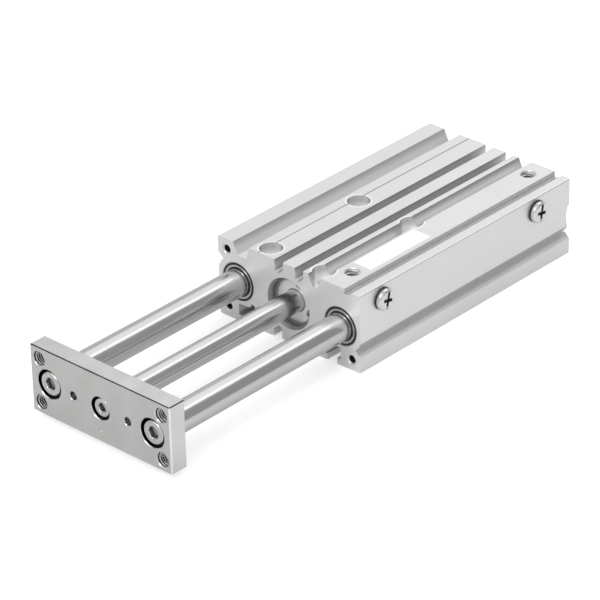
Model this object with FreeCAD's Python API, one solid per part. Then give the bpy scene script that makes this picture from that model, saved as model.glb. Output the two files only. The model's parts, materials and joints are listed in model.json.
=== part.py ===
"""Guided pneumatic cylinder: an extruded housing, two guide rods and a piston rod on one end plate.

Millimetres. X runs across the width, Y along the stroke with the end plate at negative Y, Z up.
Every place along Y is measured from the housing's front face while modelling. The export then puts
the origin at the centre of the four base threads, on the mounting face.
"""
import FreeCAD
import Part
import math
import os

Vector = FreeCAD.Vector

# Housing section
body_width = 64.0
body_height = 30.0
edge_break = 0.3
stroke = 75.0

# Guide rods, their bushes and bores
guide_from_side = 8.75
guide_rod_d = 10.0
guide_bore_d = 14.0
guide_mouth_chamfer = 0.3
guide_rear_chamfer = 2.7
guide_rear_recess = 0.8
guide_rod_reach = 52.0
guide_rod_end_chamfer = 1.0
bush_length = 22.0
bush_spacing = 4.0
bush_end_chamfer = 0.5
wiper_recess = 0.2
wiper_length = 2.8
wiper_case_d = 12.4
wiper_case_wall = 0.65
wiper_case_depth = 0.9

# Cylinder bore and the parts stacked along it, front to rear
bore_d = 16.0
seat_bore_d = 17.4
seat_mouth_chamfer = 0.8
cover_recess = 3.5
cover_flange = 5.2
cover_nose = 3.8
cover_nose_d = 14.4
end_clearance = 0.5
head_nose = 2.2
head_flange = 3.4
head_recess = 3.5
bumper_stand = 0.6
bumper_length = 1.2
bumper_inner_d = 9.2
bumper_width = 2.0
piston_land = 1.0
piston_seal_width = 2.4
piston_seal_depth = 2.05
piston_rib = 0.8
magnet_width = 2.6
magnet_depth = 2.05
magnet_setback = 0.2
wear_ring_width = 1.6
wear_ring_depth = 0.75
piston_rod_d = 8.0
piston_spigot_d = 5.0
cover_seal_width = 2.6
cover_seal_wall = 1.75
cover_seal_setback = 1.0
rod_bush_length = 4.6
rod_bush_wall = 0.9
oring_section = 1.2
oring_groove_width = 1.6

# Internal retaining rings
ring_thickness = 1.0
ring_groove_depth = 0.6
ring_width = 1.35
ring_gap_angle = 75.0
ring_gap_at = 24.5
ring_lug_width = 2.2
ring_lug_reach = 1.6
ring_lug_hole_d = 1.1

# Running and assembly clearances, on the radius or face to face
running_clearance = 0.04
assembly_clearance = 0.02
groove_clearance = 0.05

# Long grooves of the extrusion
long_groove_depth = 4.5
cable_groove_left = 25.0
cable_groove_top = 7.3
cable_groove_bottom = 4.1
cable_groove_left_run = 2.1
sensor_slot_width = 3.7
sensor_slot_depth = 4.7
sensor_slot_floor = 2.0
sensor_slot_flank = 1.7
sensor_slot_corner = 0.6
sensor_slot_left_edge = 5.9
sensor_slot_right_edge = 3.3
vee_left = 9.2
vee_top = 5.7
vee_floor = 0.8
vee_left_run = 2.1
vee_toe_radius = 1.4
scribe_line_x = 13.3
scribe_line_width = 0.5
scribe_line_depth = 0.4
corner_step_width = 6.6
corner_step_depth = 2.0
corner_step_floor = 0.6
corner_slope_run = 1.7
corner_slope_rise = 0.5
corner_strip_width = 3.4
corner_strip_drop = 0.6
side_groove_depth = 2.2
side_groove_wall = 2.5
side_groove_mouth = 9.0

# T-slots and relief in the base
tslot_from_guide = 3.85
tslot_opening = 4.4
tslot_width = 7.5
tslot_lip = 2.4
tslot_height = 4.3
tslot_lobe_height = 1.8
tslot_lobe_width = 1.7
tslot_corner = 0.7
base_relief_width = 16.4
base_relief_depth = 0.4

# Mounting holes through the housing
mount_pitch_x = 24.0
mount_pitch_y = 44.0
mount_first_row = 5.0
mount_hole_d = 4.3
mount_counterbore_d = 8.2
mount_counterbore_depth = 4.6
mount_thread_d = 5.0
mount_thread_depth = 12.0
base_dowel_d = 3.0
base_dowel_depth = 6.0
end_hole_d = 2.9
end_hole_depth = 8.0
end_hole_chamfer = 0.45
end_hole_from_side = 4.0
end_hole_from_top = 4.0

# Air ports
port_thread_d = 5.0
port_mouth_chamfer = 0.4
top_port_x = 19.7
top_port_front_y = 10.3
top_port_rear_y = 7.6
top_port_depth = 6.0
side_port_front_y = 11.4
side_port_rear_y = 18.0
side_port_from_top = 6.0
side_port_depth = 4.8
air_passage_d = 1.6
air_groove_depth = 1.3
rear_passage_y = 8.0

# Plugs that close the side ports
plug_head_d = 7.8
plug_head_height = 1.8
plug_shoulder = 1.2
plug_length = 4.0
plug_slot_width = 1.2
plug_slot_depth = 0.9
plug_cross_length = 4.2
plug_cross_depth = 1.4
plug_front_turn = 77.0
plug_rear_turn = 80.0
gasket_d = 8.0
gasket_thickness = 0.7

# Blank name label
label_width = 8.1
label_length = 30.3
label_thickness = 0.1
label_from_front = 15.2
label_from_side = 8.2
label_corner = 0.6

# End plate
plate_width = 63.0
plate_height = 25.0
plate_thickness = 7.0
plate_edge_break = 0.4
retracted_gap = 7.0
plate_seat_depth = 1.0
plate_thread_d = 5.0
plate_thread_chamfer = 0.3
plate_thread_from_side = 4.0
plate_thread_from_top = 4.3
plate_dowel_d = 3.0
plate_dowel_depth = 5.0
plate_dowel_chamfer = 0.25
plate_dowel_pitch = 24.6
plate_counterbore_chamfer = 0.25
plate_mark_d = 1.0
plate_mark_depth = 0.4
plate_mark_below = 8.2

# Screws in the end plate
guide_screw_d = 5.0
guide_screw_head_d = 8.5
guide_screw_head = 3.5
guide_screw_length = 12.0
guide_screw_recess = 0.5
guide_screw_counterbore_d = 10.5
guide_screw_key = 4.0
piston_screw_d = 4.0
piston_screw_head_d = 6.8
piston_screw_head = 3.0
piston_screw_length = 10.0
piston_screw_recess = 0.8
piston_screw_counterbore_d = 8.3
piston_screw_key = 3.0
screw_key_depth = 2.0
screw_key_chamfer = 0.35
screw_key_tip = 0.8
screw_head_break = 0.3
screw_hole_clearance = 0.25
screw_thread_clearance = 0.03
tapped_hole_extra = 2.0

# Places that follow from the sizes above
over = 1.0
mid_z = body_height / 2
half_width = body_width / 2
guide_x = half_width - guide_from_side
guide_rod_r = guide_rod_d / 2
guide_bore_r = guide_bore_d / 2
bore_r = bore_d / 2
seat_r = seat_bore_d / 2
rod_r = piston_rod_d / 2
cover_front = cover_recess
cover_seat = cover_front + cover_flange
cover_rear = cover_seat + cover_nose
piston_front = cover_rear + end_clearance
piston_metal = (2 * piston_land + piston_seal_width + 2 * piston_rib + magnet_width
                + wear_ring_width)
piston_length = piston_metal + 2 * bumper_stand
piston_rear = piston_front + piston_length
head_front = piston_rear + stroke + end_clearance
head_seat = head_front + head_nose
head_rear = head_seat + head_flange
body_length = head_rear + head_recess
plate_back = -(retracted_gap + stroke)
plate_front = plate_back - plate_thickness
pattern_y = mount_first_row + mount_pitch_y / 2
first_bush = wiper_recess + wiper_length + assembly_clearance
second_bush = first_bush + bush_length + bush_spacing
side_port_rear = body_length - side_port_rear_y
side_port_z = body_height - side_port_from_top
top_port_rear = body_length - top_port_rear_y
rear_passage = body_length - rear_passage_y


def outline_face(start, steps):
    """Flat face in the XZ plane at Y = 0: each step is an end point, or a middle and an end of an arc."""
    here = Vector(start[0], 0, start[1])
    edges = []
    for step in steps:
        points = [Vector(x, 0, z) for x, z in step]
        if len(points) == 2:
            edges.append(Part.Arc(here, points[0], points[1]).toShape())
        else:
            edges.append(Part.makeLine(here, points[0]))
        here = points[-1]
    edges.append(Part.makeLine(here, Vector(start[0], 0, start[1])))
    return Part.Face(Part.Wire(edges))


def long_prism(face, front, rear):
    """Extrudes a section face along Y between two places."""
    section = face.copy()
    section.translate(Vector(0, front, 0))
    return section.extrude(Vector(0, rear - front, 0))


def through_groove(start, steps):
    """A groove that runs past both ends of the housing."""
    return long_prism(outline_face(start, steps), -over, body_length + over)


def turned(profile, x=0.0, z=None):
    """Solid of revolution about an axis along Y; the profile is (radius, y) pairs."""
    axis_z = mid_z if z is None else z
    points = [Vector(x + radius, y, axis_z) for radius, y in profile]
    face = Part.Face(Part.makePolygon(points + points[:1]))
    return face.revolve(Vector(x, 0, axis_z), Vector(0, 1, 0), 360)


def disc(radius, front, rear, x=0.0, z=None):
    """Plain cylinder along Y."""
    axis_z = mid_z if z is None else z
    return Part.makeCylinder(radius, rear - front, Vector(x, front, axis_z), Vector(0, 1, 0))


def tube(outer, inner, front, rear, x=0.0, z=None):
    """Plain ring along Y."""
    return disc(outer, front, rear, x, z).cut(disc(inner, front - over, rear + over, x, z))


def torus_ring(mean_radius, section, y):
    """Round-section ring about the cylinder bore's axis."""
    return Part.makeTorus(mean_radius, section / 2, Vector(0, y, mid_z), Vector(0, 1, 0))


def mouth_cone(radius, chamfer, place, direction):
    """Chamfer cutter at a hole's mouth; the direction points into the hole."""
    back = Vector(direction).multiply(-over)
    return Part.makeCone(radius + chamfer + over, radius, chamfer + over, place.add(back), direction)


def drilled(radius, depth, place, direction, chamfer=0.0):
    """Hole cutter that starts outside its mouth, with an optional chamfer there."""
    start = place.sub(Vector(direction).multiply(over))
    cutter = Part.makeCylinder(radius, depth + over, start, direction)
    if chamfer:
        cutter = cutter.fuse(mouth_cone(radius, chamfer, place, direction))
    return cutter


def joined(solids):
    """Several separate solids kept in one group."""
    return Part.makeCompound(solids)


def flipped(point):
    """The same place after half a turn of the section about its centre."""
    return (-point[0], body_height - point[1])


def blank():
    """The extrusion before its grooves, with broken long edges."""
    left, right, cut = -half_width, half_width, edge_break
    face = outline_face((left + cut, 0), [
        [(left, cut)], [(left, body_height - cut)], [(left + cut, body_height)],
        [(right - cut, body_height)], [(right, body_height - cut)], [(right, cut)],
        [(right - cut, 0)]])
    return long_prism(face, 0, body_length)


def cable_groove():
    """Wide groove near the top's left edge."""
    left = -cable_groove_left
    right = left + cable_groove_top
    floor_left = left + cable_groove_left_run
    floor_right = floor_left + cable_groove_bottom
    floor = body_height - long_groove_depth
    return through_groove((left, body_height + over), [
        [(left, body_height)], [(floor_left, floor)], [(floor_right, floor)],
        [(right, body_height)], [(right, body_height + over)]])


def sensor_slot_outline(left, turn):
    """Slot with one upright wall and one sloped flank; turn maps it to the top or the base."""
    right = left + sensor_slot_width
    floor = body_height - sensor_slot_depth
    corner = sensor_slot_corner
    swing = corner * (1 - math.sqrt(0.5))
    points = [
        [(left, floor + corner)],
        [(left + swing, floor + swing), (left + corner, floor)],
        [(left + sensor_slot_floor, floor)],
        [(right, floor + sensor_slot_flank)],
        [(right, body_height + over)]]
    start = (left, body_height + over)
    return turn(start), [[turn(point) for point in step] for step in points]


def sensor_slots():
    """Two slots in the top and two in the base, half a turn apart."""
    slots = []
    for turn in (lambda point: point, flipped):
        for left in (-sensor_slot_left_edge, sensor_slot_right_edge):
            start, steps = sensor_slot_outline(left, turn)
            slots.append(through_groove(start, steps))
    return slots


def vee_groove():
    """Vee groove beside the right sensor slot, steep on its left and sloping on its right."""
    right = vee_left + vee_top
    floor = body_height - long_groove_depth
    floor_left = vee_left + vee_left_run
    floor_right = floor_left + vee_floor
    toe_r = vee_toe_radius
    toe_middle = (floor_right + toe_r * math.sqrt(0.5), floor + toe_r * (1 - math.sqrt(0.5)))
    return through_groove((vee_left, body_height + over), [
        [(vee_left, body_height)], [(floor_left, floor)], [(floor_right, floor)],
        [toe_middle, (floor_right + toe_r, floor + toe_r)],
        [(right, body_height)], [(right, body_height + over)]])


def scribe_line():
    """Fine guide line along the left land."""
    half = scribe_line_width / 2
    return through_groove((-scribe_line_x - half, body_height + over), [
        [(-scribe_line_x - half, body_height)],
        [(-scribe_line_x, body_height - scribe_line_depth)],
        [(-scribe_line_x + half, body_height)],
        [(-scribe_line_x + half, body_height + over)]])


def corner_step():
    """Stepped right-hand edge of the top: a narrow trough, a gentle slope and a lower strip."""
    left = half_width - corner_step_width
    floor = body_height - corner_step_depth
    strip = body_height - corner_strip_drop
    slope_start = left + corner_step_floor
    return through_groove((left, body_height + over), [
        [(left, floor)], [(slope_start, floor)],
        [(slope_start + corner_slope_run, floor + corner_slope_rise)],
        [(half_width - corner_strip_width, strip)], [(half_width + over, strip)],
        [(half_width + over, body_height + over)]])


def side_groove(turn):
    """Groove whose inner flank follows the guide bore; turn places it left above or right below."""
    radius = guide_bore_r + side_groove_wall
    apex_run = half_width - side_groove_depth - guide_x
    apex = (-guide_x - apex_run, mid_z + math.sqrt(radius ** 2 - apex_run ** 2))
    out_run = half_width + over - guide_x
    low_run = min(out_run, radius)
    low = (-guide_x - low_run, mid_z + math.sqrt(max(radius ** 2 - low_run ** 2, 0)))
    middle_angle = (math.atan2(apex[1] - mid_z, apex_run) + math.atan2(low[1] - mid_z, low_run)) / 2
    middle = (-guide_x - radius * math.cos(middle_angle), mid_z + radius * math.sin(middle_angle))
    mouth = (-half_width, mid_z + side_groove_mouth)
    outside = -half_width - over
    steps = [[middle, apex], [mouth], [(outside, mouth[1])], [(outside, low[1])]]
    return through_groove(turn(low), [[turn(point) for point in step] for step in steps])


def tslot(side):
    """T-slot in the base; the ceiling rises beside the guide bore, on the side of the centre."""
    centre = side * (guide_x - tslot_from_guide)
    neck = tslot_opening / 2
    half = tslot_width / 2
    ceiling = tslot_lip + tslot_height
    lobe = ceiling + tslot_lobe_height
    corner = tslot_corner
    swing = corner * (1 - math.sqrt(0.5))

    def at(across, z):
        return (centre + side * across, z)

    return through_groove(at(neck, -over), [
        [at(neck, tslot_lip)], [at(half, tslot_lip)], [at(half, ceiling)],
        [at(corner - half + tslot_lobe_width, ceiling + corner / 2)],
        [at(tslot_lobe_width - half, lobe)], [at(corner - half, lobe)],
        [at(swing - half, lobe - swing), at(-half, lobe - corner)],
        [at(-half, tslot_lip)], [at(-neck, tslot_lip)], [at(-neck, -over)]])


def base_relief():
    """Shallow relief in the middle of the base, between the two rows of mounting threads."""
    half = base_relief_width / 2
    return through_groove((-half, -over), [
        [(-half, base_relief_depth)], [(half, base_relief_depth)], [(half, -over)]])


def bore_cutter():
    """Cylinder bore with its two seats, ring grooves, mouth chamfers and air grooves."""
    cutter = disc(bore_r, -over, body_length + over)
    down_y = Vector(0, 1, 0)
    parts = [
        disc(seat_r, -over, cover_seat),
        disc(seat_r, head_seat, body_length + over),
        mouth_cone(seat_r, seat_mouth_chamfer, Vector(0, 0, mid_z), down_y),
        mouth_cone(seat_r, seat_mouth_chamfer, Vector(0, body_length, mid_z), down_y.negative())]
    ring_room = ring_thickness + groove_clearance
    ring_groove_r = seat_r + ring_groove_depth
    parts.append(disc(ring_groove_r, cover_front - ring_room, cover_front))
    parts.append(disc(ring_groove_r, head_rear, head_rear + ring_room))
    half = air_passage_d / 2
    for y in (side_port_front_y, rear_passage):
        parts.append(disc(bore_r + air_groove_depth, y - half, y + half))
    return cutter.multiFuse(parts)


def guide_bore_cutter(x):
    """Guide bore, open right through: a small chamfer in front, a recess and a wide chamfer behind."""
    cutter = disc(guide_bore_r, -over, body_length + over, x)
    front = mouth_cone(guide_bore_r, guide_mouth_chamfer, Vector(x, 0, mid_z), Vector(0, 1, 0))
    recess_r = guide_bore_r + guide_rear_chamfer
    recess_floor = body_length - guide_rear_recess
    recess = disc(recess_r, recess_floor, body_length + over, x)
    rear = Part.makeCone(guide_bore_r, recess_r, guide_rear_chamfer,
                         Vector(x, recess_floor - guide_rear_chamfer, mid_z), Vector(0, 1, 0))
    return cutter.multiFuse([front, recess, rear])


def mount_hole_cutters():
    """Four counterbored holes from the top, tapped from below, and two dowel holes between them."""
    cutters = []
    down, up = Vector(0, 0, -1), Vector(0, 0, 1)
    for x in (-mount_pitch_x / 2, mount_pitch_x / 2):
        for y in (mount_first_row, mount_first_row + mount_pitch_y):
            cutters.append(drilled(mount_hole_d / 2, body_height + over, Vector(x, y, body_height), down))
            cutters.append(drilled(mount_counterbore_d / 2, mount_counterbore_depth,
                                   Vector(x, y, body_height), down))
            cutters.append(drilled(mount_thread_d / 2, mount_thread_depth, Vector(x, y, 0), up))
        cutters.append(drilled(base_dowel_d / 2, base_dowel_depth, Vector(x, pattern_y, 0), up))
    return cutters


def end_hole_cutters():
    """Three blind holes in the front face; the fourth corner is taken by the side port."""
    across = half_width - end_hole_from_side
    low, high = end_hole_from_top, body_height - end_hole_from_top
    corners = [(-across, high), (-across, low), (across, low)]
    return [drilled(end_hole_d / 2, end_hole_depth, Vector(x, 0, z), Vector(0, 1, 0), end_hole_chamfer)
            for x, z in corners]


def port_cutters():
    """Top and side ports, and the passages that join them to the two ends of the bore."""
    cutters = []
    passage_r = air_passage_d / 2
    inward = Vector(-1, 0, 0)
    for y in (top_port_front_y, top_port_rear):
        cutters.append(drilled(port_thread_d / 2, top_port_depth, Vector(top_port_x, y, body_height),
                               Vector(0, 0, -1), port_mouth_chamfer))
    for y in (side_port_front_y, side_port_rear):
        cutters.append(drilled(port_thread_d / 2, side_port_depth, Vector(half_width, y, side_port_z),
                               inward, port_mouth_chamfer))
    port_floor = half_width - side_port_depth
    front_start = Vector(port_floor + over, side_port_front_y, side_port_z)
    cutters.append(Part.makeCylinder(passage_r, port_floor + over, front_start, inward))
    rear_start = Vector(top_port_x, rear_passage, side_port_z)
    cutters.append(Part.makeCylinder(passage_r, top_port_x, rear_start, inward))
    link_start = Vector(port_floor + over, side_port_rear, side_port_z)
    cutters.append(Part.makeCylinder(passage_r, port_floor + over - top_port_x, link_start, inward))
    gallery_start = Vector(top_port_x, side_port_rear, side_port_z)
    gallery_length = rear_passage - side_port_rear
    cutters.append(Part.makeCylinder(passage_r, gallery_length, gallery_start, Vector(0, 1, 0)))
    return cutters


def cylinder_body():
    """The extruded housing with every groove, bore, hole and port."""
    grooves = [cable_groove(), vee_groove(), scribe_line(), corner_step(), base_relief(),
               side_groove(lambda point: point), side_groove(flipped), tslot(-1), tslot(1)]
    body = blank().cut(grooves + sensor_slots())
    bores = [bore_cutter(), guide_bore_cutter(-guide_x), guide_bore_cutter(guide_x)]
    body = body.cut(bores)
    return body.cut(mount_hole_cutters() + end_hole_cutters() + port_cutters())


def guide_bush(x, front):
    """Plain bearing sleeve pressed into a guide bore."""
    outer = guide_bore_r - assembly_clearance
    inner = guide_rod_r + running_clearance
    rear = front + bush_length
    cut = bush_end_chamfer
    return turned([(inner, front), (outer - cut, front), (outer, front + cut), (outer, rear - cut),
                   (outer - cut, rear), (inner, rear)], x)


def wiper_case(x):
    """Metal ring let into the front of a rod wiper."""
    outer = wiper_case_d / 2
    return tube(outer, outer - wiper_case_wall, wiper_recess, wiper_recess + wiper_case_depth, x)


def guide_wiper(x):
    """Rubber wiper round a guide rod, with a lip at its inner edge and a groove for its metal ring."""
    outer = guide_bore_r - assembly_clearance
    inner = guide_rod_r + running_clearance
    rear = wiper_recess + wiper_length
    case_outer = wiper_case_d / 2 + assembly_clearance
    case_inner = wiper_case_d / 2 - wiper_case_wall - assembly_clearance
    case_floor = wiper_recess + wiper_case_depth + assembly_clearance
    return turned([(inner, wiper_recess), (case_inner, wiper_recess), (case_inner, case_floor),
                   (case_outer, case_floor), (case_outer, wiper_recess), (outer, wiper_recess),
                   (outer, rear), (inner, rear)], x)


def cover_with_groove(front, seat, rear, groove_front, nose_first):
    """Flange with an O-ring groove, and a thinner nose on the side of the piston."""
    flange_r = seat_r - assembly_clearance
    groove_r = seat_r - oring_section - groove_clearance
    nose_r = cover_nose_d / 2
    if nose_first:
        solid = disc(nose_r, front, seat).fuse(disc(flange_r, seat, rear))
    else:
        solid = disc(flange_r, front, seat).fuse(disc(nose_r, seat, rear))
    return solid.cut(tube(seat_r + over, groove_r, groove_front, groove_front + oring_groove_width))


def front_oring_groove():
    """Start of the rod cover's O-ring groove."""
    return (cover_front + cover_seat - oring_groove_width) / 2


def rear_oring_groove():
    """Start of the head cover's O-ring groove."""
    return (head_seat + head_rear - oring_groove_width) / 2


def rod_cover():
    """Front cover: passes the piston rod and holds its seal and its bush."""
    cover = cover_with_groove(cover_front, cover_seat, cover_rear, front_oring_groove(), False)
    seal_front = cover_front + cover_seal_setback
    seal_r = rod_r + cover_seal_wall + groove_clearance
    bush_r = rod_r + rod_bush_wall + assembly_clearance
    cuts = [
        disc(rod_r + groove_clearance + running_clearance, cover_front - over, cover_rear + over),
        disc(seal_r, seal_front, seal_front + cover_seal_width),
        disc(bush_r, cover_rear - rod_bush_length, cover_rear + over),
        mouth_cone(rod_r + groove_clearance, edge_break, Vector(0, cover_front, mid_z), Vector(0, 1, 0))]
    return cover.cut(cuts)


def rod_seal():
    """U-section seal on the piston rod, its lips towards the pressure."""
    front = cover_front + cover_seal_setback + groove_clearance
    rear = front + cover_seal_width - 2 * groove_clearance
    inner = rod_r + running_clearance
    outer = rod_r + cover_seal_wall
    lip = (outer - inner) / 3
    middle = (inner + outer) / 2
    return turned([(inner, front), (outer, front), (outer, rear), (outer - lip, rear),
                   (middle, rear - lip), (inner + lip, rear), (inner, rear)])


def rod_bush():
    """Bearing sleeve for the piston rod in the cover's nose."""
    return tube(rod_r + rod_bush_wall, rod_r + running_clearance,
                cover_rear - rod_bush_length + assembly_clearance, cover_rear)


def cover_oring(groove_front):
    """O-ring in a cover's groove."""
    groove_r = seat_r - oring_section - groove_clearance
    mean = (groove_r + seat_r) / 2
    return torus_ring(mean, oring_section, groove_front + oring_groove_width / 2)


def head_cover():
    """Rear cover that closes the bore."""
    return cover_with_groove(head_front, head_seat, head_rear, rear_oring_groove(), True)


def retaining_ring(front):
    """Internal retaining ring: an open ring with two drilled lugs beside its gap."""
    rear = front + ring_thickness
    outer = seat_r + ring_groove_depth - groove_clearance
    inner = outer - ring_width
    ring = tube(outer, inner, front, rear)
    half_gap = math.radians(ring_gap_angle / 2)
    reach = outer + over
    half_mouth = reach * math.tan(half_gap)
    wedge = outline_face((0, mid_z), [[(reach, mid_z - half_mouth)], [(reach, mid_z + half_mouth)]])
    ring = ring.cut(long_prism(wedge, front - over, rear + over))
    lug_outer = inner + ring_width / 2
    for side in (-1, 1):
        lug = Part.makeBox(lug_outer - inner + ring_lug_reach, ring_thickness, ring_lug_width,
                           Vector(inner - ring_lug_reach, front, mid_z - ring_lug_width / 2))
        hole = disc(ring_lug_hole_d / 2, front - over, rear + over, inner - ring_lug_reach / 4)
        lug = lug.cut(hole)
        turn = side * (ring_gap_angle / 2 + math.degrees(ring_lug_width / 2 / inner))
        lug.rotate(Vector(0, 0, mid_z), Vector(0, 1, 0), turn)
        ring = ring.fuse(lug)
    ring = ring.removeSplitter()
    ring.rotate(Vector(0, 0, mid_z), Vector(0, 1, 0), -ring_gap_at)
    return ring


def piston_marks():
    """Places of the piston's faces and grooves, front to rear."""
    face = piston_front + bumper_stand
    seal = face + piston_land
    magnet = seal + piston_seal_width + piston_rib
    wear = magnet + magnet_width + piston_rib
    tail = wear + wear_ring_width + piston_land
    return face, seal, magnet, wear, tail


def piston():
    """Piston with grooves for seal, magnet and wear ring, and a recess for a bumper in each face."""
    face, seal, magnet, wear, tail = piston_marks()
    outer = bore_r - groove_clearance
    solid = disc(outer, face, tail)
    bumper_in = bumper_inner_d / 2 - groove_clearance
    bumper_out = bumper_inner_d / 2 + bumper_width + groove_clearance
    recess = bumper_length - bumper_stand
    cuts = [
        disc(piston_spigot_d / 2 + assembly_clearance, face - over, tail + over),
        tube(outer + over, outer - piston_seal_depth, seal, seal + piston_seal_width),
        tube(outer + over, outer - magnet_depth, magnet, magnet + magnet_width),
        tube(outer + over, outer - wear_ring_depth, wear, wear + wear_ring_width),
        tube(bumper_out, bumper_in, face - over, face + recess),
        tube(bumper_out, bumper_in, tail - recess, tail + over)]
    return solid.cut(cuts)


def piston_seal():
    """Piston seal with a shallow vee in its running face."""
    seal = piston_marks()[1]
    front = seal + groove_clearance
    rear = seal + piston_seal_width - groove_clearance
    inner = bore_r - piston_seal_depth
    outer = bore_r - running_clearance
    middle = (front + rear) / 2
    return turned([(inner, front), (outer, front), (outer - piston_seal_depth / 3, middle),
                   (outer, rear), (inner, rear)])


def magnet_ring():
    """Ring magnet that the switches sense."""
    magnet = piston_marks()[2]
    inner = bore_r - groove_clearance - magnet_depth + assembly_clearance
    return tube(bore_r - magnet_setback, inner, magnet + groove_clearance,
                magnet + magnet_width - groove_clearance)


def wear_ring():
    """Guide ring that carries the piston on the bore."""
    wear = piston_marks()[3]
    inner = bore_r - groove_clearance - wear_ring_depth + assembly_clearance
    return tube(bore_r - running_clearance, inner, wear + groove_clearance,
                wear + wear_ring_width - groove_clearance)


def bumper(front):
    """Rubber ring that softens the end of the stroke."""
    inner = bumper_inner_d / 2
    return tube(inner + bumper_width, inner, front, front + bumper_length)


def piston_rod():
    """Piston rod from its seat in the end plate to the piston, tapped in front, with a rear spigot."""
    front = plate_back - plate_seat_depth
    face, tail = piston_marks()[0], piston_marks()[4]
    shaft = disc(rod_r, front, face)
    spigot = disc(piston_spigot_d / 2, face - over, tail)
    hole_depth = plate_drop(piston_screw_head, piston_screw_recess, piston_screw_length) + tapped_hole_extra
    hole = drilled(piston_screw_d / 2, hole_depth, Vector(0, front, mid_z), Vector(0, 1, 0), edge_break)
    return shaft.fuse(spigot).removeSplitter().cut(hole)


def plate_drop(head, recess, length):
    """How far a screw reaches past the rod's front end."""
    return length - (plate_thickness - plate_seat_depth - head - recess)


def guide_rod(x):
    """Hard chromed guide rod, tapped in front and chamfered at its rear end."""
    front = plate_back - plate_seat_depth
    cut = guide_rod_end_chamfer
    rod = turned([(0, front), (guide_rod_r, front), (guide_rod_r, guide_rod_reach - cut),
                  (guide_rod_r - cut, guide_rod_reach), (0, guide_rod_reach)], x)
    hole_depth = plate_drop(guide_screw_head, guide_screw_recess, guide_screw_length) + tapped_hole_extra
    hole = drilled(guide_screw_d / 2, hole_depth, Vector(x, front, mid_z), Vector(0, 1, 0), edge_break)
    return rod.cut(hole)


def end_plate():
    """End plate with counterbored screw holes, rod seats, four threads and two dowel holes."""
    corner = Vector(-plate_width / 2, plate_front, mid_z - plate_height / 2)
    plate = Part.makeBox(plate_width, plate_thickness, plate_height, corner)
    plate = plate.makeChamfer(plate_edge_break, plate.Edges)
    inward = Vector(0, 1, 0)
    guide_sink = guide_screw_head + guide_screw_recess
    piston_sink = piston_screw_head + piston_screw_recess
    screws = [
        (-guide_x, guide_rod_r, guide_screw_d, guide_screw_counterbore_d, guide_sink),
        (0, rod_r, piston_screw_d, piston_screw_counterbore_d, piston_sink),
        (guide_x, guide_rod_r, guide_screw_d, guide_screw_counterbore_d, guide_sink)]
    cuts = []
    for x, seat_radius, screw_d, counterbore_d, depth in screws:
        cuts.append(drilled(screw_d / 2 + screw_hole_clearance, plate_thickness + over,
                            Vector(x, plate_front, mid_z), inward))
        cuts.append(drilled(counterbore_d / 2, depth, Vector(x, plate_front, mid_z), inward,
                            plate_counterbore_chamfer))
        cuts.append(drilled(seat_radius + assembly_clearance, plate_seat_depth,
                            Vector(x, plate_back, mid_z), inward.negative()))
    thread_x = plate_width / 2 - plate_thread_from_side
    thread_z = plate_height / 2 - plate_thread_from_top
    for x in (-thread_x, thread_x):
        for z in (-thread_z, thread_z):
            cuts.append(drilled(plate_thread_d / 2, plate_thickness + over,
                                Vector(x, plate_front, mid_z + z), inward, plate_thread_chamfer))
    for x in (-plate_dowel_pitch / 2, plate_dowel_pitch / 2):
        cuts.append(drilled(plate_dowel_d / 2, plate_dowel_depth, Vector(x, plate_front, mid_z),
                            inward, plate_dowel_chamfer))
    cuts.append(Part.makeCone(plate_mark_d / 2, 0, plate_mark_depth,
                              Vector(0, plate_front, mid_z - plate_mark_below), inward))
    return plate.cut(cuts)


def hexagon(key, front, rear, x):
    """Hexagonal socket cutter along Y."""
    radius = key / 2 / math.cos(math.radians(30))
    points = [Vector(x + radius * math.cos(math.radians(60 * step)), front,
                     mid_z + radius * math.sin(math.radians(60 * step))) for step in range(7)]
    return Part.Face(Part.makePolygon(points)).extrude(Vector(0, rear - front, 0))


def socket_screw(x, thread_d, head_d, head, length, recess, key):
    """Low cylinder-head screw sunk into the end plate; its socket has a broken mouth and a drilled tip."""
    top = plate_front + recess
    seat = top + head
    cut = screw_head_break
    shank_r = thread_d / 2 - screw_thread_clearance
    head_r = head_d / 2
    solid = turned([(0, top), (head_r - cut, top), (head_r, top + cut), (head_r, seat), (shank_r, seat),
                    (shank_r, seat + length - cut), (shank_r - cut, seat + length), (0, seat + length)], x)
    inward = Vector(0, 1, 0)
    mouth = mouth_cone(key / 2, screw_key_chamfer, Vector(x, top, mid_z), inward)
    tip = Part.makeCone(key / 2, 0, screw_key_tip, Vector(x, top + screw_key_depth, mid_z), inward)
    return solid.cut([hexagon(key, top - over, top + screw_key_depth, x), mouth, tip])


def guide_rod_screws():
    """The two larger screws that hold the guide rods."""
    return joined([socket_screw(x, guide_screw_d, guide_screw_head_d, guide_screw_head,
                                guide_screw_length, guide_screw_recess, guide_screw_key)
                   for x in (-guide_x, guide_x)])


def piston_rod_screw():
    """The smaller screw in the middle that holds the piston rod."""
    return socket_screw(0, piston_screw_d, piston_screw_head_d, piston_screw_head,
                        piston_screw_length, piston_screw_recess, piston_screw_key)


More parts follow.
